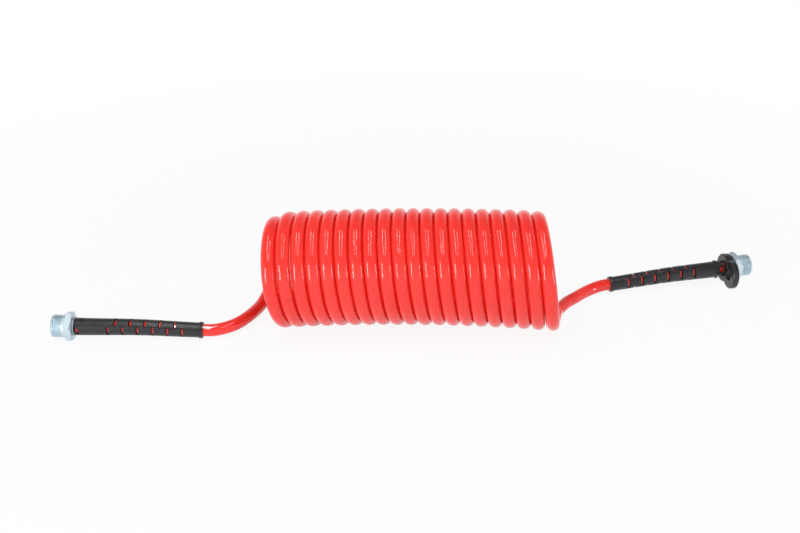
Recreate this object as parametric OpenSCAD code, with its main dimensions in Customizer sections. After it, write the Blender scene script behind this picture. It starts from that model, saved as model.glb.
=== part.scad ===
/* [Hose] */
// Outer diameter of the hose
hose_od = 12; // [10:0.5:14]
// Inner diameter of the hose
hose_id = 9; // [6:0.5:9]
// How far a hose end stands out of its kink guard
hose_show = 4; // [2:0.5:8]

/* [Coil] */
// Mean radius of the turns
coil_radius = 51; // [45:1:60]
// Distance from one turn to the next
coil_pitch = 13.4; // [13.1:0.1:20]
// Whole turns between the two tails
coil_turns = 20; // [8:1:24]
// How much the last turn's radius is over the middle one's
coil_swell = 0.7; // [0:0.1:2]
// How much the first and last turns are drawn in
end_draw = 1.7; // [0:0.1:3]
// How far the first turn's foot lies along the coil from its top
lean_first = 6.8; // [0:0.5:12]
// The same lean at the last turn
lean_last = 9.5; // [0:0.5:16]
// How far the middle of the coil lies behind its ends
coil_bow = 9; // [0:0.5:15]
// How far the first turn's back lies along the coil from the middle of the turn
swing_first = 3.2; // [-1:0.1:4]
// The same at the last turn
swing_last = -0.8; // [-2:0.1:4]
// How far the first turn's back is drawn out towards its tail
lead_in = 8; // [0:1:10]
// How far the last turn's foot is drawn out towards its tail
lead_out = 3; // [0:0.5:4]

/* [Swivel screw] */
// Major diameter of the port thread, M22 x 1.5
thread_od = 22; // [20:0.5:24]
// Length of the thread with its chamfer
thread_len = 9.3; // [8:0.1:14]
// Width of the undercut behind the thread
undercut_w = 1; // [0.6:0.1:2]
// Depth of the undercut
undercut_depth = 1; // [0.4:0.1:1.5]
// Length of the plain shoulder behind the undercut
shoulder_len = 2.9; // [2:0.1:6]
// Width of the hexagon across flats
hex_af = 27; // [25:0.5:30]
// Length of the hexagon
hex_len = 6.5; // [5:0.5:12]
// Chamfer at the tip of the thread
thread_chamfer = 1; // [0.5:0.1:2]

/* [Hose stem] */
// Diameter of the stem's shank, which the swivel screw turns on
shank_d = 12; // [11:0.1:12.5]
// Diameter of the sealing flange at the stem's tip
flange_d = 15.8; // [15:0.1:17]
// Thickness of the flange
flange_t = 3.3; // [2:0.1:4]
// How far the flange stands out of the swivel screw
flange_proud = 0.5; // [0.2:0.1:1]
// Diameter of the air bore
air_bore_d = 6.5; // [5:0.1:7]
// Length of the barbed end inside the hose
barb_len = 26; // [20:1:30]
// Number of barbs
barb_count = 6; // [3:1:8]
// Diameter over the barbs
barb_d = 10.2; // [9.8:0.1:10.4]
// Depth of the notch between two barbs
barb_depth = 0.5; // [0.2:0.1:0.8]
// Thickness of the O-ring's cord
o_ring_cord = 1.3; // [1:0.1:1.5]
// Distance of the O-ring from the hose side of the hexagon
o_ring_place = 10.8; // [8:0.1:13]

/* [Rings] */
// Outer diameter of the black dust ring, which sits in the hexagon's hose side
dust_ring_d = 16.5; // [15:0.1:18]
// Thickness of the dust ring
dust_ring_t = 1.5; // [1:0.1:2.5]
// Outer diameter of the stop ring
stop_ring_d = 16.8; // [15:0.1:18]
// Thickness of the stop ring
stop_ring_t = 0.9; // [0.6:0.1:1.5]
// How deep the stop ring sits in the stem
stop_ring_seat = 0.5; // [0.3:0.1:0.8]
// Distance of the crimp ring from the hose's cut end
crimp_place = 14; // [13.5:0.5:15]
// Length of the crimp ring
crimp_len = 11; // [8:0.5:12]
// Wall of the crimp ring
crimp_wall = 0.6; // [0.4:0.1:0.6]

/* [Kink guard] */
// Length of a kink guard
guard_len = 122.6; // [110:0.1:140]
// Outer diameter at the fitting
guard_d_thick = 17; // [16.9:0.1:19]
// Outer diameter just before the rim
guard_d_thin = 14.6; // [14.4:0.1:16]
// Outer diameter of the rim
rim_d = 16; // [15.5:0.1:17]
// Width of the rim
rim_w = 4; // [2:0.5:6]
// Length of the wide hollow that takes the crimp ring
hollow_len = 28; // [27:0.5:30]
// Distance of the first slot from the guard's thick end
slot_first = 32.1; // [31:0.1:34]
// Distance from one slot to the next one on the same side
slot_pitch = 14.2; // [14:0.1:15]
// Slots on each of the two broad sides
slot_count = 6; // [3:1:6]
// Width of a slot
slot_w = 2.8; // [1.5:0.1:4]
// Length of a slot round the guard
slot_len = 12.1; // [8:0.1:12.5]
// Length of the two windows that show the hose's cut end
window_len = 4.5; // [3:0.5:5]
// Width of the windows
window_w = 9; // [6:0.5:10]
// How far the two lugs stand out
lug_h = 0.9; // [0.5:0.1:1.5]
// Length of the lugs
lug_len = 3; // [2:0.5:4]
// Width of the lugs
lug_w = 4.6; // [3:0.1:6]

/* [Hanger clip] */
// Outer diameter of both lobes
clip_lobe_d = 29; // [28:0.5:32]
// Thickness of the lobe round the hose
clip_ring_t = 7; // [6:0.5:10]
// Diameter of that lobe's bore, which is loose on the hose
clip_bore_d = 15; // [14.8:0.1:17]
// How far the lobe's middle hangs above the middle of the hose
clip_rise = 0.4; // [0:0.1:0.5]
// How far the clip leans sideways on the hose, in degrees
clip_yaw = -3.4; // [-5:0.1:5]
// How far the clip leans back on the hose, in degrees
clip_pitch = -4.3; // [-5:0.1:0]
// Thickness of the lobe with the eye
clip_eye_t = 6.2; // [4:0.2:8]
// Diameter of the hanging eye
eye_d = 12.5; // [10:0.5:13]
// Distance between the hose and the eye
eye_distance = 16.3; // [16:0.1:18]
// Chamfer round the lobes
clip_chamfer = 0.9; // [0.3:0.1:1.5]

/* [Clearances] */
// Radial gap of the swivel screw on the stem
swivel_gap = 0.08; // [0.05:0.01:0.1]
// Axial gap between pieces that turn on each other
turning_gap = 0.25; // [0.1:0.05:0.4]
// Radial gap round the hose in the guard
hose_gap = 0.2; // [0.1:0.05:0.3]
// Gap of pieces that sit tight
seat_gap = 0.05; // [0.02:0.01:0.1]

/* [Hidden] */
$fn = 96;

// The floor under the middle of the whole lay is the origin, the coil lies along X
lay_shift = [1.834, -28.388, 0];

// Where the hose side of each hexagon is, before the shift, and which way its hose runs
left_place = [-329.2, -43.2];
left_heading = 4;
left_turn = 36;
left_guard_turn = -76;
right_place = [324.9, 98.3];
right_heading = 13;
right_turn = -6;
right_guard_turn = -73;
eye_turn = 0;

// Places along an end, from the hose side of its hexagon towards the hose
nut_len = thread_len + undercut_w + shoulder_len + hex_len;
hex_ac = hex_af / cos(30);
stop_at = turning_gap;
dust_at = stop_at - seat_gap - dust_ring_t;
hose_cut = stop_at + stop_ring_t + seat_gap;
clip_lean = norm([clip_yaw, clip_pitch]);
clip_at = hose_cut - seat_gap + turning_gap + clip_ring_t / 2 + stop_ring_d / 2 * sin(clip_lean);
left_guard_at = hose_cut + turning_gap;
right_guard_at = clip_at + clip_ring_t / 2 + guard_d_thick / 2 * sin(clip_lean) + turning_gap;
left_hose_out = left_guard_at + guard_len + hose_show;
right_hose_out = right_guard_at + guard_len + hose_show;

// The left end lies on its hexagon and the guard's rim, the right end on its clip and the rim
left_lift = hex_ac / 2 * cos(30 - left_turn);
left_tilt = asin((left_lift - rim_d / 2) / (left_guard_at + guard_len));
left_nut = [left_place[0], left_place[1], left_lift];
right_tilt = asin(((clip_lobe_d - rim_d) / 2 - clip_rise) / (right_guard_at + guard_len - clip_at));
clip_dip = -sin(right_tilt) * cos(clip_yaw) * cos(clip_pitch) - cos(right_tilt) * sin(clip_pitch);
clip_low = clip_lobe_d / 2 * sqrt(1 - pow(clip_dip, 2)) + (clip_ring_t / 2 - clip_chamfer) * abs(clip_dip)
    + eye_distance * abs(sin(right_tilt) * sin(clip_yaw)) + seat_gap;
right_lift = clip_low - clip_rise * cos(right_tilt) + clip_at * sin(right_tilt);
right_nut = [right_place[0], right_place[1], right_lift];

// Radii inside an end
hose_r = hose_od / 2;
hose_bore_r = hose_id / 2;
barb_r = barb_d / 2;
grip_bore_r = barb_r + seat_gap;
grip_r = grip_bore_r + (hose_od - hose_id) / 2 * 0.93;
crimp_bore_r = grip_r + seat_gap;
crimp_r = crimp_bore_r + crimp_wall;
hollow_r = crimp_r + seat_gap * 2;
guard_bore_r = hose_r + hose_gap;
flange_depth = flange_t - flange_proud + turning_gap;

// The hose's route between coil and guards, before the shift
left_route = [[-189.5, -32, 8], [-176, -23, 8.5], [-167.5, -10, 8.5], [-162, 4, 8],
    [-157.5, 18, 8.5], [-153, 32, 14], [-149, 43, 26.5]];
right_route = [[142, 21.5, 6], [148, 31, 6], [157, 40.5, 6.5], [170.5, 55.5, 6.2], [180.5, 63, 6.8]];
tail_sides = 12;

// The coil as rings along its turns
coil_sides = 6;
rings_per_turn = 24;
first_t = -0.25;
last_t = coil_turns - 0.5;
ring_count = round((last_t - first_t) * rings_per_turn);

function unit(v) = v / norm(v);
function swept_share(t) = 2 * t / coil_turns - 1;
function lean(t) = lean_first + (lean_last - lean_first) * t / coil_turns;
function swing(t) = swing_first + (swing_last - swing_first) * t / coil_turns;
function turn_radius(t) = coil_radius + coil_swell * swept_share(t)
    - end_draw * (pow(max(0, 1 - t), 2) + pow(max(0, t - last_t + 1), 2));
function coil_point(t) =
    let (back = -sin(360 * t), up = cos(360 * t), r = turn_radius(t))
    [coil_pitch * (t - coil_turns / 2) + swing(t) * back - lean(t) / 2 * up
         - lead_in * pow(4 * max(0, -t), 2) + lead_out * pow(2 * max(0, t - last_t + 0.5), 8),
     r * back + coil_bow * (1 - pow(swept_share(t), 2)),
     r * (1 + up) + hose_r];
function coil_way(t) = unit(coil_point(t + 0.001) - coil_point(t - 0.001));
function coil_out(t) = [0, -sin(360 * t), cos(360 * t)];

// Round tube along points: ways are its directions, outs are where its first edge looks
function ring(at, way, out, r, sides) =
    let (n = unit(out - (out * way) * way), b = cross(way, n))
    [for (i = [0 : sides - 1]) at + r * (cos(360 * i / sides) * n + sin(360 * i / sides) * b)];
module tube(points, ways, outs, r, sides) {
    count = len(points);
    rings = [for (i = [0 : count - 1]) each ring(points[i], ways[i], outs[i], r, sides)];
    sides_faces = [for (i = [0 : count - 2]) for (j = [0 : sides - 1])
        let (a = i * sides + j, b = i * sides + (j + 1) % sides)
        each [[a, b + sides, b], [a, a + sides, b + sides]]];
    caps = [for (j = [1 : sides - 2])
        each [[0, j, j + 1], [(count - 1) * sides, (count - 1) * sides + j + 1, (count - 1) * sides + j]]];
    polyhedron(rings, concat(sides_faces, caps), convexity = 10);
}
function ways_along(points) = [for (i = [0 : len(points) - 1])
    unit(points[min(i + 1, len(points) - 1)] - points[max(i - 1, 0)])];

// Frames of the two ends: X runs from the hexagon's hose side into the hose
module at_left() translate(lay_shift + left_nut) rotate([0, left_tilt, left_heading]) children();
module at_right() translate(lay_shift + right_nut) rotate([0, right_tilt, 180 + right_heading]) children();
function along(nut, tilt, heading, s) =
    nut + s * [cos(tilt) * cos(heading), cos(tilt) * sin(heading), -sin(tilt)];

// Solid of revolution about X from [radius, place] points
module turned(points) rotate([0, 90, 0]) rotate_extrude() polygon(points);
module tube_ring(r_in, r_out, from, to)
    turned([[r_in, from], [r_out, from], [r_out, to], [r_in, to]]);

module hose_coil() {
    ts = [for (i = [0 : ring_count]) first_t + i / rings_per_turn];
    inner = [for (t = ts) coil_point(t)];
    ways = [for (t = ts) coil_way(t)];
    outs = [for (t = ts) coil_out(t)];
    last = len(ts) - 1;
    gaps = [for (i = [0 : last - rings_per_turn]) min([for (k = [-3 : 3])
        let (j = min(last, i + rings_per_turn + k)) norm(inner[j] - inner[i]) - hose_od])];
    echo(str("least gap between two turns: ", min(gaps), " mm"));
    points = concat([inner[0] - hose_od * ways[0]], inner, [inner[last] + hose_od * ways[last]]);
    color([0.85, 0.12, 0.1]) translate(lay_shift)
        tube(points, concat([ways[0]], ways, [ways[last]]), concat([outs[0]], outs, [outs[last]]),
            hose_r, coil_sides);
}

module hose_tail_left() {
    start = along(left_nut, left_tilt, left_heading, left_hose_out);
    way = unit(along(left_nut, left_tilt, left_heading, left_hose_out + 1) - start);
    end = coil_point(first_t) - hose_od * coil_way(first_t);
    points = concat([start], left_route, [end]);
    ways = ways_along(points);
    count = len(points);
    color([0.85, 0.12, 0.1]) translate(lay_shift)
        tube(points, [for (i = [0 : count - 1]) i == 0 ? way : i == count - 1 ? coil_way(first_t) : ways[i]],
            [for (i = [1 : count]) [1, -1, 1]], hose_r, tail_sides);
}

module hose_tail_right() {
    end = along(right_nut, right_tilt, 180 + right_heading, right_hose_out);
    way = unit(end - along(right_nut, right_tilt, 180 + right_heading, right_hose_out + 1));
    start = coil_point(last_t) + hose_od * coil_way(last_t);
    points = concat([start], right_route, [end]);
    ways = ways_along(points);
    count = len(points);
    color([0.85, 0.12, 0.1]) translate(lay_shift)
        tube(points, [for (i = [0 : count - 1]) i == 0 ? coil_way(last_t) : i == count - 1 ? way : ways[i]],
            [for (i = [1 : count]) [0, 0, 1]], hose_r, tail_sides);
}

// The hose inside a guard: widened where it is pushed over the barbs
module hose_end(out_at) {
    grip_end = hose_cut + barb_len + 1;
    neck_end = grip_end + 5;
    color([0.85, 0.12, 0.1])
        turned([[grip_bore_r, hose_cut], [grip_r, hose_cut], [grip_r, grip_end - 1], [hose_r, neck_end],
            [hose_r, out_at], [hose_bore_r, out_at], [hose_bore_r, neck_end], [grip_bore_r, grip_end]]);
}
module hose_end_left() at_left() hose_end(left_hose_out);
module hose_end_right() at_right() hose_end(right_hose_out);

// Hexagon and port thread in one, with the seat for the stem's flange at the tip
// and the seat for the dust ring at the hose side
module swivel_screw(turn) {
    r = thread_od / 2;
    tip = -nut_len;
    undercut_at = tip + thread_len;
    bore_r = shank_d / 2 + swivel_gap;
    seat_r = flange_d / 2 + turning_gap;
    hex_edge = (hex_ac - hex_af) / 2 * tan(30) + 0.4;
    color([0.78, 0.84, 0.88]) rotate([turn, 0, 0]) difference() {
        union() {
            turned([[0, tip], [r - thread_chamfer, tip], [r, tip + thread_chamfer], [r, undercut_at],
                [r - undercut_depth, undercut_at], [r - undercut_depth, undercut_at + undercut_w],
                [r, undercut_at + undercut_w], [r, -hex_len + 1], [0, -hex_len + 1]]);
            intersection() {
                rotate([0, 90, 0]) translate([0, 0, -hex_len]) rotate([0, 0, 30])
                    linear_extrude(hex_len) circle(d = hex_ac, $fn = 6);
                turned([[0, -hex_len], [hex_af / 2 - 0.5, -hex_len], [hex_ac / 2 + 0.1, -hex_len + hex_edge],
                    [hex_ac / 2 + 0.1, -hex_edge], [hex_af / 2 - 0.5, 0], [0, 0]]);
            }
        }
        turned([[0, tip - 1], [seat_r, tip - 1], [seat_r, tip + flange_depth],
            [bore_r, tip + flange_depth], [bore_r, dust_at - turning_gap],
            [dust_ring_d / 2 + turning_gap, dust_at - turning_gap],
            [dust_ring_d / 2 + turning_gap, 1], [0, 1]]);
    }
}
module swivel_screw_left() at_left() swivel_screw(left_turn);
module swivel_screw_right() at_right() swivel_screw(right_turn);

// Sealing flange, shank with O-ring groove and stop ring groove, and barbed end
module hose_stem() {
    tip = -nut_len - flange_proud;
    shank_r = shank_d / 2;
    bore_r = air_bore_d / 2;
    groove_r = shank_r + swivel_gap - o_ring_cord - seat_gap;
    groove_w = o_ring_cord + 0.6;
    barb_pitch = barb_len / barb_count;
    color([0.72, 0.75, 0.78]) turned(concat(
        [[bore_r, tip], [flange_d / 2, tip], [flange_d / 2, tip + flange_t], [shank_r, tip + flange_t],
         [shank_r, -o_ring_place - groove_w / 2], [groove_r, -o_ring_place - groove_w / 2],
         [groove_r, -o_ring_place + groove_w / 2], [shank_r, -o_ring_place + groove_w / 2],
         [shank_r, stop_at - seat_gap], [shank_r - stop_ring_seat, stop_at - seat_gap],
         [shank_r - stop_ring_seat, hose_cut - seat_gap], [barb_r, hose_cut - seat_gap]],
        [for (i = [0 : barb_count - 1]) each
            [[barb_r, hose_cut + i * barb_pitch + 0.4],
             [barb_r - barb_depth, hose_cut + (i + 1) * barb_pitch - 0.2]]],
        [[bore_r, hose_cut + barb_len]]));
}
module hose_stem_left() at_left() hose_stem();
module hose_stem_right() at_right() hose_stem();

module stem_o_ring()
    color([0.06, 0.06, 0.06]) translate([-o_ring_place, 0, 0]) rotate([0, 90, 0])
        rotate_extrude() translate([shank_d / 2 + swivel_gap - o_ring_cord / 2 - seat_gap / 2, 0])
            circle(d = o_ring_cord - seat_gap, $fn = 32);
module stem_o_ring_left() at_left() stem_o_ring();
module stem_o_ring_right() at_right() stem_o_ring();

module dust_ring()
    color([0.05, 0.05, 0.05])
        tube_ring(shank_d / 2 + seat_gap, dust_ring_d / 2, dust_at, dust_at + dust_ring_t);
module dust_ring_left() at_left() dust_ring();
module dust_ring_right() at_right() dust_ring();

module stop_ring()
    color([0.8, 0.83, 0.86])
        tube_ring(shank_d / 2 - stop_ring_seat + seat_gap, stop_ring_d / 2, stop_at, stop_at + stop_ring_t - seat_gap);
module stop_ring_left() at_left() stop_ring();
module stop_ring_right() at_right() stop_ring();

module crimp_ring()
    color([0.75, 0.77, 0.8])
        tube_ring(crimp_bore_r, crimp_r, hose_cut + crimp_place, hose_cut + crimp_place + crimp_len);
module crimp_ring_left() at_left() crimp_ring();
module crimp_ring_right() at_right() crimp_ring();

// Cutter through both walls: a flat hole with round ends, along X by across, seen along Z
module slot_cutter(place, across)
    translate([place, 0, -guard_d_thick]) linear_extrude(2 * guard_d_thick) {
        square([across, slot_len - across], center = true);
        for (side = [-1, 1]) translate([0, side * (slot_len - across) / 2]) circle(d = across);
    }

module kink_guard(at, turn) {
    window_at = 0.6 + window_len / 2;
    lug_at = window_len + 0.9;
    r_thick = guard_d_thick / 2;
    rim_at = guard_len - rim_w;
    slope = (r_thick - guard_d_thin / 2) / rim_at;
    edge = 0.4;
    color([0.13, 0.13, 0.14]) translate([at, 0, 0]) rotate([turn, 0, 0]) difference() {
        union() {
            turned([[hollow_r, 0], [r_thick - edge, 0], [r_thick, edge], [guard_d_thin / 2, rim_at],
                [rim_d / 2 - edge, rim_at], [rim_d / 2, rim_at + edge], [rim_d / 2, guard_len - edge],
                [rim_d / 2 - edge, guard_len], [guard_bore_r, guard_len], [guard_bore_r, hollow_len + 2],
                [hollow_r, hollow_len]]);
            intersection() {
                turned([[hollow_r + 0.2, lug_at], [r_thick + lug_h, lug_at + 0.6],
                    [r_thick + lug_h, lug_at + lug_len - 0.6], [r_thick - slope * lug_len, lug_at + lug_len],
                    [hollow_r + 0.2, lug_at + lug_len]]);
                translate([lug_at, -guard_d_thick, -lug_w / 2]) cube([lug_len, 2 * guard_d_thick, lug_w]);
            }
        }
        for (i = [0 : slot_count - 1]) slot_cutter(slot_first + i * slot_pitch, slot_w);
        for (i = [0 : slot_count - 2])
            rotate([90, 0, 0]) slot_cutter(slot_first + (i + 0.5) * slot_pitch, slot_w);
        translate([window_at, 0, 0])
            cube([window_len, window_w, 3 * guard_d_thick], center = true);
    }
}
module kink_guard_left() at_left() kink_guard(left_guard_at, left_guard_turn);
module kink_guard_right() at_right() kink_guard(right_guard_at, right_guard_turn);

// Figure of eight: one lobe turns on the hose, the other holds the hanging eye
module lobe(t) {
    r = clip_lobe_d / 2;
    turned([[0, -t / 2], [r - clip_chamfer, -t / 2], [r, clip_chamfer - t / 2],
        [r, t / 2 - clip_chamfer], [r - clip_chamfer, t / 2], [0, t / 2]]);
}
module hanger_clip() at_right()
    color([0.14, 0.14, 0.15]) rotate([eye_turn, 0, 0]) translate([clip_at, 0, clip_rise])
        rotate([0, clip_pitch, clip_yaw]) difference() {
            union() {
                lobe(clip_ring_t);
                translate([0, eye_distance, 0]) lobe(clip_eye_t);
            }
            rotate([0, 90, 0]) cylinder(d = clip_bore_d, h = 2 * clip_ring_t, center = true);
            translate([0, eye_distance, 0]) rotate([0, 90, 0])
                cylinder(d = eye_d, h = 2 * clip_ring_t, center = true);
        }

hose_coil();
hose_tail_left();
hose_tail_right();
hose_end_left();
hose_end_right();
swivel_screw_left();
swivel_screw_right();
hose_stem_left();
hose_stem_right();
stem_o_ring_left();
stem_o_ring_right();
dust_ring_left();
dust_ring_right();
stop_ring_left();
stop_ring_right();
crimp_ring_left();
crimp_ring_right();
kink_guard_left();
kink_guard_right();
hanger_clip();
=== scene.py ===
import bmesh
import bpy
import math
import numpy as np
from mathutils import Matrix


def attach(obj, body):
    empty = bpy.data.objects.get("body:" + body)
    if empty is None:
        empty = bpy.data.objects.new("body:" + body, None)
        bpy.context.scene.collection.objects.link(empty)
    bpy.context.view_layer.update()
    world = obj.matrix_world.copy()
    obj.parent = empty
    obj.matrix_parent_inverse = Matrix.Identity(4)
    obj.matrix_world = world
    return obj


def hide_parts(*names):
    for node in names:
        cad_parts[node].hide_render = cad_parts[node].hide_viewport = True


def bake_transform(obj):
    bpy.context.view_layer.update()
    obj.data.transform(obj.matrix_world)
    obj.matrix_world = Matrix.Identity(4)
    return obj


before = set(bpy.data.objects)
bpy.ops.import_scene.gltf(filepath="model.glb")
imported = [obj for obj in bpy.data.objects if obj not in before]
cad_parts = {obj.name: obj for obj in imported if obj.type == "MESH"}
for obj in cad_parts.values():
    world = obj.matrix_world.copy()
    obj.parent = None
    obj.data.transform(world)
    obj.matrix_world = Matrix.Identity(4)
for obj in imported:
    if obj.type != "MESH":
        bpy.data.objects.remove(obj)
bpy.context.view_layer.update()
scene = bpy.context.scene
scene.view_settings.view_transform = "Standard"
mm = 0.001
lay = np.array([1.834, -28.388, 0.0])  # where the coil's middle lies, in mm
print("frame:", len(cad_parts), "solids")


def placed(x, y, z, place):
    # a world matrix from three axes and a place, which Blender takes column by column
    m = np.eye(4)
    m[:3, 0], m[:3, 1], m[:3, 2], m[:3, 3] = x, y, z, place
    return [list(map(float, column)) for column in m.T]


# the camera, in degrees and mm from the lay; what it sees from and to is in m
camera = {"turn": -3.353, "down": 27.0, "roll": -0.971, "distance": 1031.0,
          "target": (-16.165, 0.0, 61.426), "lens": 48.13, "film": 36.0, "sees": (0.02, 60.0)}


def placeCamera(c):
    # looks at the target from its front, turned about Z, then down, then rolled about its own line of sight
    turn, down, roll = (math.radians(c[k]) for k in ("turn", "down", "roll"))
    ahead = np.array([math.sin(turn) * math.cos(down), math.cos(turn) * math.cos(down), -math.sin(down)])
    level = np.array([math.cos(turn), -math.sin(turn), 0.0])
    over = np.cross(level, ahead)
    right = math.cos(roll) * level + math.sin(roll) * over
    up = math.cos(roll) * over - math.sin(roll) * level
    data = bpy.data.cameras.new("camera")
    data.lens, data.sensor_width = c["lens"], c["film"]
    data.clip_start, data.clip_end = c["sees"]
    item = bpy.data.objects.new("camera", data)
    scene.collection.objects.link(item)
    place = (np.array(c["target"]) + lay - c["distance"] * ahead) * mm
    item.matrix_world = placed(right, up, -ahead, place)
    scene.camera = item


placeCamera(camera)
print("camera placed")


# materials
def materialOf(name):
    # a new material with its nodes, its link function and its shader
    m = bpy.data.materials.new(name)
    m.use_nodes = True
    return m, m.node_tree.nodes, m.node_tree.links.new, m.node_tree.nodes["Principled BSDF"]


def setRange(node, start, stop, low, high):
    # a straight line from low at start to high at stop, level outside them
    for socket, value in (("From Min", start), ("From Max", stop), ("To Min", low), ("To Max", high)):
        node.inputs[socket].default_value = value


def noiseOn(nodes, link, scale, detail):
    # soft noise on the piece's own coordinates
    where, noise = nodes.new("ShaderNodeTexCoord"), nodes.new("ShaderNodeTexNoise")
    noise.inputs["Scale"].default_value, noise.inputs["Detail"].default_value = scale, detail
    link(where.outputs["Object"], noise.inputs["Vector"])
    return noise.outputs["Fac"]


def noiseInto(nodes, link, scale, detail, low, high, target, start=0.35, stop=0.65):
    # noise goes from one colour or value to another as it climbs from start to stop
    fac = noiseOn(nodes, link, scale, detail)
    if isinstance(low, tuple):
        ramp = nodes.new("ShaderNodeValToRGB")
        for e, place, colour in zip(ramp.color_ramp.elements, (start, stop), (low, high)):
            e.position, e.color = place, (*colour, 1)
        link(fac, ramp.inputs["Fac"])
    else:
        ramp = nodes.new("ShaderNodeMapRange")
        setRange(ramp, start, stop, low, high)
        link(fac, ramp.inputs["Value"])
    link(ramp.outputs[0], target)


def grainBump(nodes, link, shader, detail, scale, strength, depth):
    # fine unevenness of the surface: noise read as a height of so much depth in m
    bump = nodes.new("ShaderNodeBump")
    bump.inputs["Strength"].default_value, bump.inputs["Distance"].default_value = strength, depth
    link(noiseOn(nodes, link, scale, detail), bump.inputs["Height"])
    link(bump.outputs["Normal"], shader.inputs["Normal"])


redFinish = {
    "colours": ((0.87, 0.030, 0.022), (0.93, 0.038, 0.028)), "patches": (22.0, 3.0), "between": (0.3, 0.7),
    "sockets": {"Roughness": 0.07, "IOR": 1.52, "Specular IOR Level": 0.5, "Subsurface Weight": 0.25,
                "Subsurface Scale": 0.004, "Subsurface Radius": (1.0, 0.12, 0.08)},
}


def redHose():
    # glossy, slightly see-through red: noise goes from one red to the other
    f = redFinish
    m, nodes, link, shader = materialOf("redPolyamide")
    for socket, value in f["sockets"].items():
        shader.inputs[socket].default_value = value
    noiseInto(nodes, link, *f["patches"], *f["colours"], shader.inputs["Base Color"], *f["between"])
    return m


finishes = {  # grain is its scale, strength and depth in m
    "zincPlate": {"colours": ((0.58, 0.69, 0.75), (0.66, 0.77, 0.83)), "patches": 140.0,
                  "metal": 1.0, "roughness": (0.5, 0.58), "grain": (300.0, 0.03, 0.00004)},
    "guardPlastic": {"colours": ((0.013, 0.014, 0.016), (0.020, 0.021, 0.024)), "patches": 120.0,
                     "metal": 0.0, "roughness": (0.28, 0.38), "grain": (2200.0, 0.15, 0.00006)},
    "sealRubber": {"colours": ((0.010, 0.010, 0.010), (0.020, 0.019, 0.018)), "patches": 300.0,
                   "metal": 0.0, "roughness": (0.55, 0.7), "grain": (3000.0, 0.2, 0.0001)},
    "crimpAluminium": {"colours": ((0.70, 0.71, 0.73), (0.80, 0.80, 0.82)), "patches": 400.0,
                       "metal": 1.0, "roughness": (0.28, 0.4), "grain": (2400.0, 0.12, 0.0001)},
}
finishFor = {"swivel": "zincPlate", "hose_stem": "zincPlate", "stop": "zincPlate",
             "dust": "sealRubber", "stem_o": "sealRubber", "crimp": "crimpAluminium"}  # all else is plastic
roughnessFiner = 2.3  # the roughness changes over shorter ways than the colour
noiseDetail = {"colour": 4.0, "roughness": 3.0, "grain": 2.0}


def finishOf(name):
    # noise goes between two colours, finer noise between two roughnesses, and the finest one makes the grain
    f = finishes[name]
    m, nodes, link, shader = materialOf(name)
    shader.inputs["Metallic"].default_value = f["metal"]
    fine = f["patches"] * roughnessFiner
    noiseInto(nodes, link, f["patches"], noiseDetail["colour"], *f["colours"], shader.inputs["Base Color"])
    noiseInto(nodes, link, fine, noiseDetail["roughness"], *f["roughness"], shader.inputs["Roughness"])
    grainBump(nodes, link, shader, noiseDetail["grain"], *f["grain"])
    return m


redPaint = redHose()
paints = {name: finishOf(name) for name in finishes}
for node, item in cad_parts.items():
    finish = next((f for start, f in finishFor.items() if node.startswith(start)), "guardPlastic")
    item.data.materials.clear()
    item.data.materials.append(paints[finish])
print("materials made:", len(paints) + 1)


# where the two ends lie, in mm and degrees: from the hose side of the hexagon, x runs into the hose
ends = {
    "left": {"place": (-329.2, -43.2, 15.5031), "heading": 4.0, "tilt": 3.4676, "body": "coil_and_left_end",
             "guard from": 1.45, "screw turn": 36.0, "guard turn": -76.0},
    "right": {"place": (324.9, 98.3, 14.5356), "heading": 193.0, "tilt": 2.7496, "body": "right_end",
              "guard from": 10.2644, "screw turn": -6.0, "guard turn": -73.0},
}
fitting = {"hose cut": 1.2, "guard": 122.6, "hose shows": 4.0, "arch": 1.1}


def endAxes(side):
    # columns are the end's own axes: turned about Z by its heading, its x tipped down by its tilt
    tilt, heading = math.radians(ends[side]["tilt"]), math.radians(ends[side]["heading"])
    ct, st, ch, sh = math.cos(tilt), math.sin(tilt), math.cos(heading), math.sin(heading)
    return np.array([[ct * ch, -sh, st * ch], [ct * sh, ch, st * sh], [-st, 0.0, ct]])


def endPlace(side, local):
    # local points in mm (x along the hose, y sideways, z up) to their place, in mm
    return np.array(ends[side]["place"]) + lay + np.asarray(local, float) @ endAxes(side).T


def archOf(side, x):
    # a guard is bent a little upwards: a squared sine over its length, nothing outside it
    q = np.clip((np.asarray(x, float) - ends[side]["guard from"]) / fitting["guard"], 0, 1)
    return fitting["arch"] * np.sin(np.pi * q) ** 2


# the hose: one line from stem to stem; places along the coil are counted in turns, the rest is in mm
coil = {"radius": 51.0, "pitch": 13.4, "turns": 20, "from": -0.25, "to": 19.5, "perTurn": 48,
        "swell": 0.7, "draw": 1.7, "lean": (6.8, 9.5), "bow": 9.0, "swing": (3.2, -0.8),
        "leadIn": 8.0, "leadOut": 3.0, "straight": 12.0}
hose = {"radius": 6.0, "sides": 32, "over barbs": 6.545, "barbs": 26.0, "taper": 5.0,
        "wider": 0.13, "flatter": 0.06, "oval after": 0.2, "between": 0.004, "least round": 0.3}
tails = {
    "left": [(-189.5, -32, 8), (-176, -23, 8.5), (-167.5, -10, 8.5), (-162, 4, 8), (-157.5, 18, 8.5),
             (-153, 32, 14), (-149, 43, 26.5)],
    "right": [(142, 21.5, 6), (148, 31, 6), (157, 40.5, 6.5), (170.5, 55.5, 6.2), (180.5, 63, 6.8)],
}
steps = {"in guard": 26, "left tail": 44, "right tail": 36}


def ovalAt(t):
    # how oval the hose is: 0 at the coil's two ends, 1 after the first fifth of a turn, a smooth step between
    u = np.clip(np.minimum(np.asarray(t, float) - coil["from"], coil["to"] - t) / hose["oval after"], 0, 1)
    return u * u * (3 - 2 * u)


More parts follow.
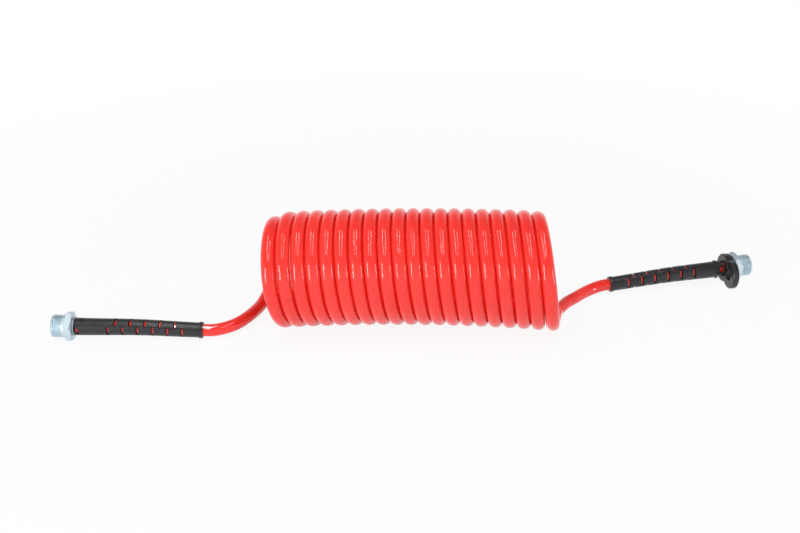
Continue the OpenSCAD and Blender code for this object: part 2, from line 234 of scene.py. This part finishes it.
def coilLine(t):
    # a helix about X that lies on the floor; its radius, lean, bow and side swing change along it. It gets
    # narrower over its first and last turn, and its ends are led out along X: before the first turn by the
    # square of the quarter turns, over the last half turn by an eighth power, which bites at its very end
    c = coil
    t = np.asarray(t, float)
    share = 2 * t / c["turns"] - 1
    back, up = -np.sin(2 * np.pi * t), np.cos(2 * np.pi * t)
    flat = hose["radius"] * hose["flatter"] * ovalAt(t)
    drawn = np.maximum(0, 1 - t) ** 2 + np.maximum(0, t - c["to"] + 1) ** 2
    r = c["radius"] + flat + c["swell"] * share - c["draw"] * drawn
    along = t / c["turns"]
    lean = c["lean"][0] + (c["lean"][1] - c["lean"][0]) * along
    swing = c["swing"][0] + (c["swing"][1] - c["swing"][0]) * along
    ledIn = c["leadIn"] * (4 * np.maximum(0, -t)) ** 2
    ledOut = c["leadOut"] * (2 * np.maximum(0, t - c["to"] + 0.5)) ** 8
    x = c["pitch"] * (t - c["turns"] / 2) + swing * back - lean / 2 * up - ledIn + ledOut
    y = r * back + c["bow"] * (1 - share**2)
    return np.stack([x, y, r * (1 + up) + hose["radius"] - flat], -1) + lay


def coilWay(t, near=0.0005):
    # the coil's direction: from a little before the place to a little after it
    d = coilLine(t + near) - coilLine(t - near)
    return d / np.linalg.norm(d)


def lastWay(line):
    # the direction of a line's last step
    d = line[-1] - line[-2]
    return d / np.linalg.norm(d)


def smoothLine(points, wayIn, wayOut, count):
    # cubic spline through the points over their chord lengths, with given end directions: the slopes at the
    # points solve the rows that make the bend even on both sides of each, then Hermite's four terms add up
    p = np.array(points, float)
    d = np.r_[0, np.cumsum(np.linalg.norm(np.diff(p, axis=0), axis=1))]
    h, n = np.diff(d), len(p)
    a = np.zeros((n, n))
    b = np.zeros((n, 3))
    a[0, 0] = a[-1, -1] = 1
    b[0], b[-1] = wayIn, wayOut
    for i in range(1, n - 1):
        a[i, i - 1 : i + 2] = [1 / h[i - 1], 2 / h[i - 1] + 2 / h[i], 1 / h[i]]
        b[i] = 3 * ((p[i] - p[i - 1]) / h[i - 1] ** 2 + (p[i + 1] - p[i]) / h[i] ** 2)
    m = np.linalg.solve(a, b)
    s = np.linspace(0, d[-1], count)
    i = np.clip(np.searchsorted(d, s, side="right") - 1, 0, n - 2)
    u = ((s - d[i]) / h[i])[:, None]
    hi = h[i][:, None]
    return ((2 * u**3 - 3 * u**2 + 1) * p[i] + (u**3 - 2 * u**2 + u) * hi * m[i]
            + (3 * u**2 - 2 * u**3) * p[i + 1] + (u**3 - u**2) * hi * m[i + 1])


def innerLine(side):
    # the hose inside its guard, from its cut end to where it comes out, bent as the guard is
    out = ends[side]["guard from"] + fitting["guard"] + fitting["hose shows"]
    x = np.linspace(fitting["hose cut"], out, steps["in guard"])
    return endPlace(side, np.stack([x, 0 * x, archOf(side, x)], -1)), x


def fatAt(x):
    # the hose is widened over the barbs and falls back to its own radius over the taper behind them
    over = np.clip((fitting["hose cut"] + hose["barbs"] + hose["taper"] - x) / hose["taper"], 0, 1)
    return 1 + (hose["over barbs"] / hose["radius"] - 1) * over


def besideAt(turns, reach=8, window=7):
    # how much wider the hose may be: half the way to the nearest point a turn away, less the radius and a
    # small gap, at most its most; then no more than its own running mean
    n, perTurn = len(turns), coil["perTurn"]
    nearest = np.full(n, np.inf)
    i = np.arange(n)
    for k in range(-reach, reach + 1):
        for way in (-1, 1):
            j = i + way * (perTurn + k)
            ok = (j >= 0) & (j < n)
            nearest[ok] = np.minimum(nearest[ok], np.linalg.norm(turns[i[ok]] - turns[j[ok]], axis=1))
    share = np.clip(nearest / 2 / hose["radius"] - (1 + hose["between"]), 0, hose["wider"])
    padded = np.pad(share, window // 2, mode="edge")
    return np.minimum(share, np.convolve(padded, np.ones(window) / window, mode="valid"))


def hoseLine():
    # all points of the hose in mm, from stem to stem: left end, tail, turns, tail and right end. With each
    # point: its share of the radius, how oval it is and how much wider; and which points are wound
    inL, xL = innerLine("left")
    inR, xR = innerLine("right")
    t0, t1 = coil["from"], coil["to"]
    way0, way1 = coilWay(t0), coilWay(t1)
    foot0, foot1 = coilLine(t0) - coil["straight"] * way0, coilLine(t1) + coil["straight"] * way1
    pointsL = [inL[-1], *(np.array(tails["left"]) + lay), foot0]
    pointsR = [foot1, *(np.array(tails["right"]) + lay), inR[-1]]
    tailL = smoothLine(pointsL, lastWay(inL), way0, steps["left tail"])
    tailR = smoothLine(pointsR, way1, -lastWay(inR), steps["right tail"])
    t = np.linspace(t0, t1, int(round((t1 - t0) * coil["perTurn"])) + 1)
    turns = coilLine(t)
    line = np.concatenate([inL[:-1], tailL, turns, tailR, inR[::-1][1:]])
    middle = np.ones(len(tailL) + len(turns) + len(tailR))
    fat = np.concatenate([fatAt(xL[:-1]), middle, fatAt(xR[::-1][1:])])
    first = len(inL) - 1 + len(tailL)
    wound = slice(first, first + len(turns))
    oval = np.zeros(len(line))
    oval[wound] = ovalAt(t)
    wide = oval.copy()
    wide[wound] *= besideAt(turns)
    return line, fat, oval, wide, wound


def tubeNodes(name, material, xRest, pitch, turnLength):
    # a line of edges becomes an oval tube. Where the coil is pulled out each turn gets narrower: its radius
    # goes with the root of its length squared less its pitch squared
    g = bpy.data.node_groups.new(name, "GeometryNodeTree")
    g.interface.new_socket("Line", in_out="INPUT", socket_type="NodeSocketGeometry")
    g.interface.new_socket("Tube", in_out="OUTPUT", socket_type="NodeSocketGeometry")
    new, link = g.nodes.new, g.links.new

    def feed(values, sockets):
        # numbers and tuples are set, sockets are linked
        for value, socket in zip(values, sockets):
            if isinstance(value, (int, float, tuple)):
                socket.default_value = value
            else:
                link(value, socket)

    def maths(op, *values):
        n = new("ShaderNodeMath")
        n.operation = op
        feed(values, n.inputs)
        return n.outputs[0]

    def vectors(op, *values):
        n = new("ShaderNodeVectorMath")
        n.operation = op
        feed(values, (n.inputs[0], n.inputs["Scale"] if op == "SCALE" else n.inputs[1]))
        return n.outputs["Value" if op == "DOT_PRODUCT" else "Vector"]

    def position():
        return new("GeometryNodeInputPosition").outputs[0]

    def stored(attribute, kind="FLOAT"):
        n = new("GeometryNodeInputNamedAttribute")
        n.data_type = kind
        n.inputs["Name"].default_value = attribute
        return n.outputs["Attribute"]

    def keep(geometry, attribute, value):
        n = new("GeometryNodeStoreNamedAttribute")
        n.data_type, n.domain = "FLOAT_VECTOR", "POINT"
        n.inputs["Name"].default_value = attribute
        link(geometry, n.inputs["Geometry"])
        link(value, n.inputs["Value"])
        return n.outputs["Geometry"]

    def moved(geometry, offset):
        n = new("GeometryNodeSetPosition")
        link(geometry, n.inputs["Geometry"])
        link(offset, n.inputs["Offset"])
        return n.outputs[0]

    start, end = new("NodeGroupInput"), new("NodeGroupOutput")
    apart, reach = new("ShaderNodeSeparateXYZ"), new("GeometryNodeAttributeStatistic")
    link(position(), apart.inputs[0])
    link(start.outputs[0], reach.inputs["Geometry"])
    link(apart.outputs[0], reach.inputs["Attribute"])
    pulled = maths("SUBTRACT", reach.outputs["Max"], xRest)
    nowPitch = maths("MULTIPLY", maths("ADD", maths("MULTIPLY", pulled, stored("pull")), 1.0), pitch)
    squared = maths("SUBTRACT", turnLength**2, maths("MULTIPLY", nowPitch, nowPitch))
    around = maths("SQRT", maths("MAXIMUM", squared, (hose["least round"] * turnLength) ** 2))
    narrow = maths("SUBTRACT", maths("DIVIDE", around, math.sqrt(turnLength**2 - pitch**2)), 1.0)
    toFoot = vectors("SCALE", stored("fromFoot", "FLOAT_VECTOR"), narrow)
    curve, width, ring, tube, paint, smooth = (new(k) for k in (
        "GeometryNodeMeshToCurve", "GeometryNodeSetCurveRadius", "GeometryNodeCurvePrimitiveCircle",
        "GeometryNodeCurveToMesh", "GeometryNodeSetMaterial", "GeometryNodeSetShadeSmooth"))
    ring.inputs["Resolution"].default_value = hose["sides"]
    ring.inputs["Radius"].default_value = hose["radius"] * mm
    tube.inputs["Fill Caps"].default_value = True
    paint.inputs["Material"].default_value = material
    link(moved(start.outputs[0], toFoot), curve.inputs["Mesh"])

    # each point of the line keeps its place and the way across its turn, which is X less its part along it
    way = new("GeometryNodeInputTangent").outputs[0]
    along = vectors("SCALE", way, vectors("DOT_PRODUCT", way, (1.0, 0.0, 0.0)))
    across = vectors("NORMALIZE", vectors("SUBTRACT", (1.0, 0.0, 0.0), along))
    kept = keep(keep(curve.outputs[0], "middle", position()), "across", across)
    link(kept, width.inputs["Curve"])
    link(stored("fat"), width.inputs["Radius"])
    link(width.outputs[0], tube.inputs["Curve"])
    link(ring.outputs["Curve"], tube.inputs["Profile Curve"])

    # the wound hose is wider along the coil than across its turn: the part of each point's way out that goes
    # across grows, and the rest shrinks
    out = vectors("SUBTRACT", position(), stored("middle", "FLOAT_VECTOR"))
    reachAcross = vectors("DOT_PRODUCT", out, stored("across", "FLOAT_VECTOR"))
    side = vectors("SCALE", stored("across", "FLOAT_VECTOR"), reachAcross)
    wider = vectors("SCALE", side, stored("wide"))
    flatBy = maths("MULTIPLY", stored("oval"), hose["flatter"])
    flatter = vectors("SCALE", vectors("SUBTRACT", side, out), flatBy)
    link(moved(tube.outputs[0], vectors("ADD", wider, flatter)), smooth.inputs["Geometry"])
    link(smooth.outputs[0], paint.inputs["Geometry"])
    link(paint.outputs[0], end.inputs[0])
    return g


def makeHose():
    # the line of edges with its attributes. The blend between the two bodies goes with 3u² - 2u³ from the
    # coil's first turn to its last, so each bit is pulled by that share's slope, 6u(1 - u); the foot is the
    # line along the floor that a turn gets narrower towards
    line, fat, oval, wide, wound = hoseLine()
    line = line * mm
    n = len(line)
    data = bpy.data.meshes.new("hose")
    data.from_pydata(line.tolist(), np.stack([np.arange(n - 1), np.arange(1, n)], -1).tolist(), [])
    xs = line[wound, 0]
    x0 = float(xs[: coil["perTurn"] // 4 + 1].min() + hose["radius"] * mm)
    x1 = float(xs[-1] - hose["radius"] * mm)
    u = np.clip((line[:, 0] - x0) / (x1 - x0), 0, 1)
    pull = 6 * u * (1 - u) / (x1 - x0)
    share = np.clip((line[:, 0] / mm - lay[0]) / (coil["pitch"] * coil["turns"] / 2), -1, 1)
    footY = (coil["bow"] * (1 - share**2) + lay[1]) * mm
    foot = np.stack([line[:, 0], footY, np.full(n, hose["radius"] * mm)], -1)
    attributes = {"pull": pull, "fat": fat, "oval": oval, "wide": wide, "fromFoot": line - foot}
    for name, values in attributes.items():
        vector = values.ndim == 2
        a = data.attributes.new(name, "FLOAT_VECTOR" if vector else "FLOAT", "POINT")
        a.data.foreach_set("vector" if vector else "value", np.asarray(values, np.float32).ravel())
    piece = bpy.data.objects.new("hose", data)
    scene.collection.objects.link(piece)
    data.materials.append(redPaint)
    turnLength = math.hypot(2 * math.pi * coil["radius"], coil["pitch"]) * mm
    xRest = float(np.float32(line[:, 0]).max())
    tube = piece.modifiers.new("tube", "NODES")
    tube.node_group = tubeNodes("hoseTube", redPaint, xRest, coil["pitch"] * mm, turnLength)
    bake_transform(piece)
    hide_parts("hose_coil", "hose_tail_left", "hose_tail_right", "hose_end_left", "hose_end_right")
    length = float(np.linalg.norm(np.diff(line, axis=0), axis=1).sum())
    print("hose:", n, "points,", round(length, 3), "m")
    return piece, line, length


hosePiece, hosePoints, hoseLength = makeHose()


# surfaces worked out as grids of points
def meshPiece(name, points, faces, paint, body, node, sharp, merge=0.0):
    # points in mm on their place; points closer than merge become one, and edges sharper than the given
    # angle stay sharp
    data = bpy.data.meshes.new(name)
    data.from_pydata((np.asarray(points) * mm).tolist(), [], np.asarray(faces).tolist())
    shape = bmesh.new()
    shape.from_mesh(data)
    if merge:
        bmesh.ops.remove_doubles(shape, verts=shape.verts, dist=merge * mm)
        bmesh.ops.dissolve_degenerate(shape, edges=shape.edges, dist=merge * mm)
    bmesh.ops.delete(shape, geom=[v for v in shape.verts if not v.link_faces], context="VERTS")
    bmesh.ops.recalc_face_normals(shape, faces=shape.faces)
    shape.to_mesh(data)
    shape.free()
    data.shade_smooth()
    data.set_sharp_from_angle(angle=math.radians(sharp))
    data.materials.append(paint)
    piece = bpy.data.objects.new(name, data)
    scene.collection.objects.link(piece)
    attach(piece, body)
    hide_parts(node)
    return piece


def gridFaces(rows, columns, turned=False):
    # quads between the rows of a grid; turned closes each row on itself
    r, c = np.meshgrid(np.arange(rows - 1), np.arange(columns - (0 if turned else 1)), indexing="ij")
    c1 = (c + 1) % columns
    corners = [r * columns + c, r * columns + c1, (r + 1) * columns + c1, (r + 1) * columns + c]
    return np.stack(corners, -1).reshape(-1, 4)


def aroundX(x, r, a):
    # points at radius r and angle a in radians round the X axis
    return np.stack([x, r * np.cos(a), r * np.sin(a)], -1)


def turnX(points, degrees):
    # turns points about X
    a = math.radians(degrees)
    x, y, z = np.moveaxis(points, -1, 0)
    return np.stack([x, y * math.cos(a) - z * math.sin(a), y * math.sin(a) + z * math.cos(a)], -1)


# the screw, in mm from the hexagon's hose side; its tip lies at negative x. The thread's profile gives the
# shares of a pitch where the crest starts and ends and the root starts and ends
screw = {"tip": -19.7, "around": 144, "bore": 6.08, "seat": 8.15, "seatDepth": 3.05, "seatEdge": 0.25,
         "major": 11.0, "thread": 9.3, "pitch": 1.5, "depth": 0.92, "profile": (0, 0.125, 0.4375, 0.6875),
         "chamfer": 1.0, "runOut": (1.2, 0.2), "undercut": 10.0, "groove": 1.0, "edge": 0.2,
         "hex": 6.5, "flats": 13.5, "corner": 15.42, "face": 13.0, "slope": 0.597,
         "dust": 8.75, "dustDepth": 1.55, "sharp": 24.0, "merge": 0.002}


def threadRows(k, a):
    # rows at the crest's and the root's edges, each climbing one pitch a turn; the radius is the major one
    # less the profile's depth there, and no more than the chamfer at the tip and the run-out allow
    under = k["tip"] + k["thread"]
    climb = a / (2 * np.pi)
    steepness, least = k["runOut"]
    rows = []
    for turn in range(-1, int(k["thread"] / k["pitch"]) + 2):
        for mark in k["profile"]:
            x = np.clip(k["tip"] + (turn + mark + climb) * k["pitch"], k["tip"], under)
            phase = np.mod((x - k["tip"]) / k["pitch"] - climb, 1)
            phase = np.where(phase > 1 - 1e-6, 0, phase)
            r = k["major"] - k["depth"] * np.interp(phase, [*k["profile"], 1], [0, 0, 1, 1, 0])
            ramp = np.minimum(x - k["tip"], (under - x) * steepness + least)
            rows.append((x, np.minimum(r, k["major"] - k["chamfer"] + ramp)))
    return rows


def makeScrew(side):
    # rows run from the bore round the outside and back, columns round the axis; a row's place and radius may
    # change with the angle: the thread's rows climb, and the hexagon's edges are where a cone meets its flats
    k = screw
    a = np.linspace(0, 2 * np.pi, k["around"] + 1)
    under = k["tip"] + k["thread"]
    neck = under + k["groove"]
    seat = k["tip"] + k["seatDepth"]
    hexR = np.minimum(k["flats"] / np.cos(np.mod(a, np.pi / 3) - np.pi / 6), k["corner"])
    cut = (hexR - k["face"]) * k["slope"]
    rows = [(seat, k["bore"]), (seat, k["seat"]), (k["tip"] + k["seatEdge"], k["seat"]),
            (k["tip"], k["seat"] + k["seatEdge"]), (k["tip"], k["major"] - k["chamfer"])]
    rows += threadRows(k, a)
    rows += [(under, k["undercut"]), (neck, k["undercut"]), (neck, k["major"] - k["edge"]),
             (neck + k["edge"], k["major"]), (-k["hex"], k["major"]), (-k["hex"], k["face"]),
             (cut - k["hex"], hexR), (-cut, hexR), (0, k["face"]), (0, k["dust"] + k["edge"]),
             (-k["edge"], k["dust"]), (-k["dustDepth"], k["dust"]), (-k["dustDepth"], k["bore"]),
             (seat, k["bore"])]
    same = np.ones(len(a))
    x, r = (np.array([row[i] * same for row in rows]) for i in (0, 1))
    points = endPlace(side, turnX(aroundX(x, r, a), ends[side]["screw turn"])).reshape(-1, 3)
    return meshPiece("swivelScrew" + side.title(), points, gridFaces(len(rows), len(a)), paints["zincPlate"],
                     side + "_screw", "swivel_screw_" + side, k["sharp"], k["merge"])


# the kink guard, in mm and degrees from its end at the fitting. A slot is its half width and half its
# straight length; its slope is the share of the width and the degrees that a mould takes off inside. A window
# is from, to and half its width; a lug is from, to, half its width and its height. Moulded edges are a width,
# a number of steps and the angle that they start at
guard = {"thick": 8.5, "thin": 7.3, "bore": 6.2, "hollow": (28.0, 2.0, 7.295), "mouth": (0.5, 0.4),
         "rim": 8.0, "rimWidth": 4.0, "edge": 0.5, "step": 0.02, "tiny": 0.001,
         "slots": 6, "first": 32.1, "pitch": 14.2, "slot": (1.4, 4.65), "slope": (0.5, 8.0),
         "window": (0.6, 5.1, 4.5), "windowSlope": 0.6, "lug": (5.4, 8.4, 2.3, 0.9),
         "lugRise": (0.2, 0.6), "lugSide": 0.8, "beside": 3.0, "moulded": (0.18, 2, 50.0), "sharp": 42.0}
# rows of points where the guard is plain, rows across a slot as shares of its half width, and one quarter of
# the columns in degrees: nine, so that column 9 is at 90 degrees and a slot's edges are four columns off
guardGrid = {"mouth": (0, 0.2, 0.5, 2.8), "plain": (11, 3.0), "slot": (-1, -0.87, -0.5, 0, 0.5, 0.87, 1),
             "end": 0.2, "quarter": (0, 9.5, 19, 28.5, 41.5, 48.5, 61.5, 71, 80.5)}


def guardRows(k, length):
    # where rows of points stand: at mouth, window, lugs, hollow and rim, across each slot and between slots
    grid, step, edge = guardGrid, k["step"], k["edge"]
    six = k["first"] + k["pitch"] * np.arange(k["slots"])
    five = six[:-1] + k["pitch"] / 2
    both = np.r_[six, five]
    across = k["slot"][0] * np.array(grid["slot"])
    rimFrom = length - k["rimWidth"]
    lugFrom, lugTo = k["lug"][:2]
    lug = [lugFrom - step, lugFrom, lugFrom + edge, lugTo - edge, lugTo, lugTo + step]
    plainFrom, plainStep = grid["plain"]
    hollow, cone = k["hollow"][:2]
    rim = [rimFrom - step, rimFrom, rimFrom + edge, length - edge, length - grid["end"], length]
    plain = [*np.arange(plainFrom, hollow, plainStep), hollow, hollow + cone]
    slots = [*(both[:, None] + across).ravel(), *(both + k["pitch"] / 4)]
    x = np.concatenate([grid["mouth"], k["window"][:2], lug, plain, slots, rim])
    return np.unique(np.round(x, 4)), six, five


def guardOutside(k, x, length):
    # the outer radius: a straight taper up to the rim, a quarter sine at the mouth, and quarter circles at
    # both edges of the rim
    rimFrom = length - k["rimWidth"]
    mouth, drop = k["mouth"]
    body = k["thick"] + (k["thin"] - k["thick"]) * np.clip(x / rimFrom, 0, 1)
    body = np.where(x < mouth, body - drop + drop * np.sin(np.pi / 2 * np.clip(x / mouth, 0, 1)), body)
    past = np.clip(np.maximum(rimFrom + k["edge"] - x, x - length + k["edge"]) / k["edge"], 0, 1)
    rim = k["rim"] - k["edge"] * (1 - np.sqrt(1 - past**2))
    return np.where(x > rimFrom - k["step"] / 2, rim, body)


def cutSlots(k, x, body, angles, turns, xIn, hole, centres, at):
    # the columns beside a slot move to its edge: half its straight length and its round end's half chord, as
    # an angle on the outer radius, a little less inside. The next columns make room
    n = len(angles)
    across, straight = k["slot"]
    closer, less = k["slope"]
    for c in centres:
        near = np.abs(x - c) <= across + k["tiny"]
        chord = np.sqrt(np.maximum(0, across**2 - (x[near] - c) ** 2))
        reach = np.degrees(np.arcsin((straight + chord) / body[near]))
        xIn[near] = c + (x[near] - c) * closer
        for m in at:
            full = 360 if m == 0 else 0
            after, before = (m + 5) % n, (m - 5) % n
            for put, far in zip(turns, (reach, reach - less)):
                put[near, (m + 4) % n] = angles[m] + far
                put[near, (m - 4) % n] = angles[m] - far + full
                put[near, after] = np.maximum(put[near, after], angles[m] + far + k["beside"])
                put[near, before] = np.minimum(put[near, before], angles[m] - far - k["beside"] + full)
            hole[np.ix_(np.nonzero(near)[0][:-1], np.arange(m - 4, m + 4) % n)] = True


def cutWindows(k, x, angles, turns, xIn, hole, at):
    # a window is a straight cut of one angle, a little smaller inside
    a0, a1, half = k["window"]
    near = (x >= a0 - k["tiny"]) & (x <= a1 + k["tiny"])
    reach = math.degrees(math.asin(half / k["thick"]))
    xIn[near] = (a0 + a1) / 2 + (x[near] - (a0 + a1) / 2) * k["windowSlope"]
    for m in at:
        for put, far in zip(turns, (reach, reach - k["slope"][1])):
            put[near, m + 4], put[near, m - 4] = angles[m] + far, angles[m] - far
        hole[np.ix_(np.nonzero(near)[0][:-1], np.arange(m - 4, m + 4))] = True


def raiseLugs(k, x, angles, turn, outer, at):
    # the middle column and its two neighbours rise; the lug's sides are drawn between those and the next
    # columns, which stay down, and its ends slope
    n = len(angles)
    lugFrom, lugTo, half, high = k["lug"]
    start, over = k["lugRise"]
    rows = (x > lugFrom - k["step"] / 2) & (x < lugTo + k["step"] / 2)
    reach = math.degrees(math.asin(half / k["thick"]))
    rise = high * np.clip(np.minimum(x[rows] - lugFrom + start, lugTo - x[rows] + start) / over, 0, 1)
    for m in at:
        for way in (1, -1):
            full = 360 if m == 0 and way < 0 else 0
            turn[rows, (m + way) % n] = angles[m] + way * (reach - k["lugSide"]) + full
            turn[rows, (m + 2 * way) % n] = angles[m] + way * reach + full
        for beside in (-1, 0, 1):
            outer[rows, (m + beside) % n] += rise


def guardFaces(hole, rows, n):
    # outside and inside without the holes' cells, then walls between a kept cell and a missing one on each of
    # its four sides, then the two end faces; the inside's points follow the outside's
    total = rows * n
    cells = gridFaces(rows, n, True).reshape(rows - 1, n, 4)
    cut = hole[:-1]
    faces = [cells[~cut], cells[~cut][:, ::-1] + total]
    none = np.zeros((1, n), bool)
    for beside, one, two in ((np.roll(cut, 1, 1), 0, 3), (np.roll(cut, -1, 1), 2, 1),
                             (np.vstack([none, cut[:-1]]), 1, 0), (np.vstack([cut[1:], none]), 3, 2)):
        edge = cells[cut & ~beside]
        faces.append(np.stack([edge[:, one], edge[:, two], edge[:, two] + total, edge[:, one] + total], -1))
    ring = np.arange(n)
    for base in (0, (rows - 1) * n):
        after = base + (ring + 1) % n
        end = np.stack([base + ring, after, after + total, base + ring + total], -1)
        faces.append(end if base else end[:, ::-1])
    return np.concatenate(faces)


def makeGuard(side):
    # a tube whose wall is cut: rows of points along x, each with its own angles, so that the lines of the
    # grid follow the slots' round ends. Six slots lie on two opposite sides, five on the two others
    k, length = guard, fitting["guard"]
    x, six, five = guardRows(k, length)
    angles = np.concatenate([np.array(guardGrid["quarter"]) + 90 * q for q in range(4)])
    n = len(angles)
    columns = np.arange(4) * len(guardGrid["quarter"])
    onY, onZ = columns[::2], columns[1::2]  # at 0 and 180 degrees, and at 90 and 270
    body = guardOutside(k, x, length)
    outer = np.tile(body[:, None], (1, n))
    turn = np.tile(angles, (len(x), 1))
    turnIn, xIn = turn.copy(), x.copy()
    hole = np.zeros((len(x), n), bool)  # cells from this row and column to the next
    for centres, at in ((six, onZ), (five, onY)):
        cutSlots(k, x, body, angles, (turn, turnIn), xIn, hole, centres, at)
    cutWindows(k, x, angles, (turn, turnIn), xIn, hole, onZ)
    raiseLugs(k, x, angles, turn, outer, onY)
    hollow, cone, wide = k["hollow"]
    bore = np.interp(x, [0, hollow, hollow + cone, length], [wide, wide, k["bore"], k["bore"]])
    inner = np.tile(bore[:, None], (1, n))
    faces = guardFaces(hole, len(x), n)
    points = np.concatenate([aroundX(place[:, None] + 0 * a, r, a).reshape(-1, 3) for place, r, a in
                             ((x, outer, np.radians(turn)), (xIn, inner, np.radians(turnIn)))])
    points = turnX(points, ends[side]["guard turn"])
    points[:, 0] += ends[side]["guard from"]
    points[:, 2] += archOf(side, points[:, 0])
    piece = meshPiece("kinkGuard" + side.title(), endPlace(side, points), faces, paints["guardPlastic"],
                      ends[side]["body"], "kink_guard_" + side, k["sharp"])
    width, segments, angle = k["moulded"]
    soft = piece.modifiers.new("moulded edges", "BEVEL")
    soft.width, soft.segments = width * mm, segments
    soft.limit_method, soft.angle_limit = "ANGLE", math.radians(angle)
    return piece


def smoothCopy(name, node, body, sharp=30.0):
    # the solid's own shape with its loose triangles joined and its round faces shaded smooth
    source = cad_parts[node].data
    where = np.empty(len(source.vertices) * 3)
    source.vertices.foreach_get("co", where)
    corners = np.empty(len(source.loops), int)
    source.loops.foreach_get("vertex_index", corners)
    return meshPiece(name, where.reshape(-1, 3) / mm, corners.reshape(-1, 3), source.materials[0], body, node,
                     sharp, screw["merge"])


screws = {side: makeScrew(side) for side in ends}
guards = {side: makeGuard(side) for side in ends}
clip = smoothCopy("hangingClip", "hanger_clip", "clip")
stems = {side: smoothCopy("hoseStem" + side.title(), "hose_stem_" + side, end["body"])
         for side, end in ends.items()}
made = (*screws.values(), *guards.values(), clip, *stems.values())
print("screws, guards, clip and stems made:", sum(len(piece.data.polygons) for piece in made), "faces")


# floor, background and lamps, in m
floor = {"x": (-4, 4), "y": (-4, 5), "grey": 0.86, "roughness": 0.9, "shine": 0.1,
         "whiter": (0.35, 0.9, 0.9, 1.0)}  # distances from and to, and the share of white at each
sky = (0.12, 0.75, 1.0, 0.26)  # heights from and to, and the brightness at each


def makeFloor():
    # a pale floor that the camera and mirror rays see nearly plain white: the share of white grows with the
    # distance from the object
    (x0, x1), (y0, y1) = floor["x"], floor["y"]
    data = bpy.data.meshes.new("floor")
    data.from_pydata([(x0, y0, 0), (x1, y0, 0), (x1, y1, 0), (x0, y1, 0)], [], [(0, 1, 2, 3)])
    item = bpy.data.objects.new("floor", data)
    scene.collection.objects.link(item)
    m, nodes, link, shader = materialOf("paleFloor")
    shader.inputs["Base Color"].default_value = (floor["grey"], floor["grey"], floor["grey"], 1)
    shader.inputs["Roughness"].default_value = floor["roughness"]
    shader.inputs["Specular IOR Level"].default_value = floor["shine"]
    glow, mix, path, seen, where, reach, far, share = (nodes.new("ShaderNode" + k) for k in (
        "Emission", "MixShader", "LightPath", "Math", "TexCoord", "VectorMath", "MapRange", "Math"))
    seen.operation, reach.operation, share.operation = "MAXIMUM", "LENGTH", "MULTIPLY"
    setRange(far, *floor["whiter"])
    link(path.outputs["Is Camera Ray"], seen.inputs[0])
    link(path.outputs["Is Glossy Ray"], seen.inputs[1])
    link(where.outputs["Object"], reach.inputs[0])
    link(reach.outputs["Value"], far.inputs["Value"])
    link(seen.outputs[0], share.inputs[0])
    link(far.outputs[0], share.inputs[1])
    link(share.outputs[0], mix.inputs[0])
    link(shader.outputs[0], mix.inputs[1])
    link(glow.outputs[0], mix.inputs[2])
    link(mix.outputs[0], nodes["Material Output"].inputs["Surface"])
    data.materials.append(m)


def makeWorld():
    # white to the camera; for all else white near the floor and darker overhead, as in a studio
    w = bpy.data.worlds.new("studio")
    scene.world = w
    w.use_nodes = True
    nodes, link = w.node_tree.nodes, w.node_tree.links.new
    back = nodes["Background"]
    back.inputs["Color"].default_value = (1, 1, 1, 1)
    path, where, apart, high, pick = (nodes.new("ShaderNode" + k) for k in (
        "LightPath", "TexCoord", "SeparateXYZ", "MapRange", "Math"))
    setRange(high, *sky)
    pick.operation = "MAXIMUM"
    link(where.outputs["Generated"], apart.inputs[0])
    link(apart.outputs["Z"], high.inputs["Value"])
    link(path.outputs["Is Camera Ray"], pick.inputs[0])
    link(high.outputs[0], pick.inputs[1])
    link(pick.outputs[0], back.inputs["Strength"])


lamps = {
    "overLeft": {"at": (-0.3, -0.32, 1.2), "to": (-0.01, -0.1, 0.05), "size": (0.055, 1.2), "watts": 4.3},
    "overRight": {"at": (0.3, -0.32, 1.2), "to": (0.01, -0.1, 0.05), "size": (0.055, 1.2), "watts": 4.3},
    "frontLeft": {"at": (-0.78, -0.82, 0.27), "to": (0, 0, 0.2), "size": (0.15, 0.52), "watts": 3.9},
    "right": {"at": (1.35, -0.40, 0.24), "to": (0, 0, 0.12), "size": (0.16, 0.42), "watts": 2.5},
}
steep = 0.7  # a lamp that looks down more than this is laid out by Y, not by Z


def makeLamps():
    # each lamp looks at its target along its own -Z, with its first side square to that and to Z or Y
    for name, lamp in lamps.items():
        data = bpy.data.lights.new(name, "AREA")
        data.shape = "RECTANGLE"
        data.size, data.size_y = lamp["size"]
        data.energy = lamp["watts"]
        item = bpy.data.objects.new(name, data)
        scene.collection.objects.link(item)
        at, to = np.array(lamp["at"]), np.array(lamp["to"])
        back = (at - to) / np.linalg.norm(at - to)
        side = np.cross((0, 1, 0) if back[2] > steep else (0, 0, 1), back)
        side /= np.linalg.norm(side)
        item.matrix_world = placed(side, np.cross(back, side), back, at)


makeFloor()
makeWorld()
makeLamps()
print("floor, world and lamps made")
